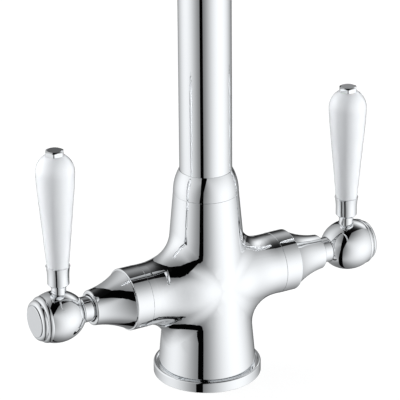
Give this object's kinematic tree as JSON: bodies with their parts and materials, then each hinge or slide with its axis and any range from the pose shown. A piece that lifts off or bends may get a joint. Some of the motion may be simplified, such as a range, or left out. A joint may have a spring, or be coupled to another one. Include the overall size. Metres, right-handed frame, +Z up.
{
  "type": "kitchen mixer tap",
  "caption": "Deck mounted kitchen mixer tap with a swivelling swan-neck spout and two quarter-turn lever handles on side arms, with its valves and under-deck fixing set.",
  "frame": {"origin": "centre of the base, in the plane of its foot, which is the worktop's surface", "axes": "+Z up along the column, -Y to the front where the spout's outlet points at rest, +X to the right along the right valve arm"},
  "size_m": [0.1846, 0.2396, 0.4195],
  "materials": {
    "chrome": "bright plated, mirror",
    "white_ceramic": "white gloss glaze",
    "disc_ceramic": "lapped",
    "brass": "machined",
    "steel": "zinc plated",
    "black_rubber": "matt",
    "white_acetal": "matt"
  },
  "bodies": {
    "tap_body": {"body_casting": "chrome", "base_ring": "chrome", "base_seal": "black_rubber", "fixing_stud": "steel", "rubber_horseshoe": "black_rubber", "steel_horseshoe": "steel", "fixing_nut": "brass", "spout_collar": "chrome", "lower_slip_ring": "white_acetal", "upper_slip_ring": "white_acetal", "left_arm_ring": "chrome", "left_bell_cover": "chrome", "left_valve_body": "brass", "left_valve_o_ring": "black_rubber", "left_seat_seal": "black_rubber", "left_fixed_disc": "disc_ceramic", "right_arm_ring": "chrome", "right_bell_cover": "chrome", "right_valve_body": "brass", "right_valve_o_ring": "black_rubber", "right_seat_seal": "black_rubber", "right_fixed_disc": "disc_ceramic"},
    "spout": {"spout_stem": "brass", "spout_o_rings": "black_rubber", "spout_tube": "chrome", "spout_end_ring": "chrome", "aerator_washer": "black_rubber", "aerator_housing": "chrome", "aerator_insert": "white_acetal"},
    "left_lever": {"left_moving_disc": "disc_ceramic", "left_spindle": "brass", "left_spindle_o_rings": "black_rubber", "left_spindle_clip": "steel", "left_lever_hub": "chrome", "left_hub_screw": "steel", "left_index_cap": "chrome", "left_lever_rod": "steel", "left_ferrule": "chrome", "left_handle": "white_ceramic", "left_foot_washer": "white_acetal", "left_tip_washer": "white_acetal", "left_tip_nut": "chrome"},
    "right_lever": {"right_moving_disc": "disc_ceramic", "right_spindle": "brass", "right_spindle_o_rings": "black_rubber", "right_spindle_clip": "steel", "right_lever_hub": "chrome", "right_hub_screw": "steel", "right_index_cap": "chrome", "right_lever_rod": "steel", "right_ferrule": "chrome", "right_handle": "white_ceramic", "right_foot_washer": "white_acetal", "right_tip_washer": "white_acetal", "right_tip_nut": "chrome"}
  },
  "joints": [
    {"name": "spout_swivel", "type": "hinge", "parent": "tap_body", "child": "spout", "pos_m": [0, 0, 0.09], "axis": [0, 0, 1], "continuous": true},
    {"name": "left_lever_turn", "type": "hinge", "parent": "tap_body", "child": "left_lever", "pos_m": [-0.0791, 0, 0.048], "axis": [1, 0, 0], "range_deg": [0, 90]},
    {"name": "right_lever_turn", "type": "hinge", "parent": "tap_body", "child": "right_lever", "pos_m": [0.0791, 0, 0.048], "axis": [1, 0, 0], "range_deg": [0, 90]}
  ]
}
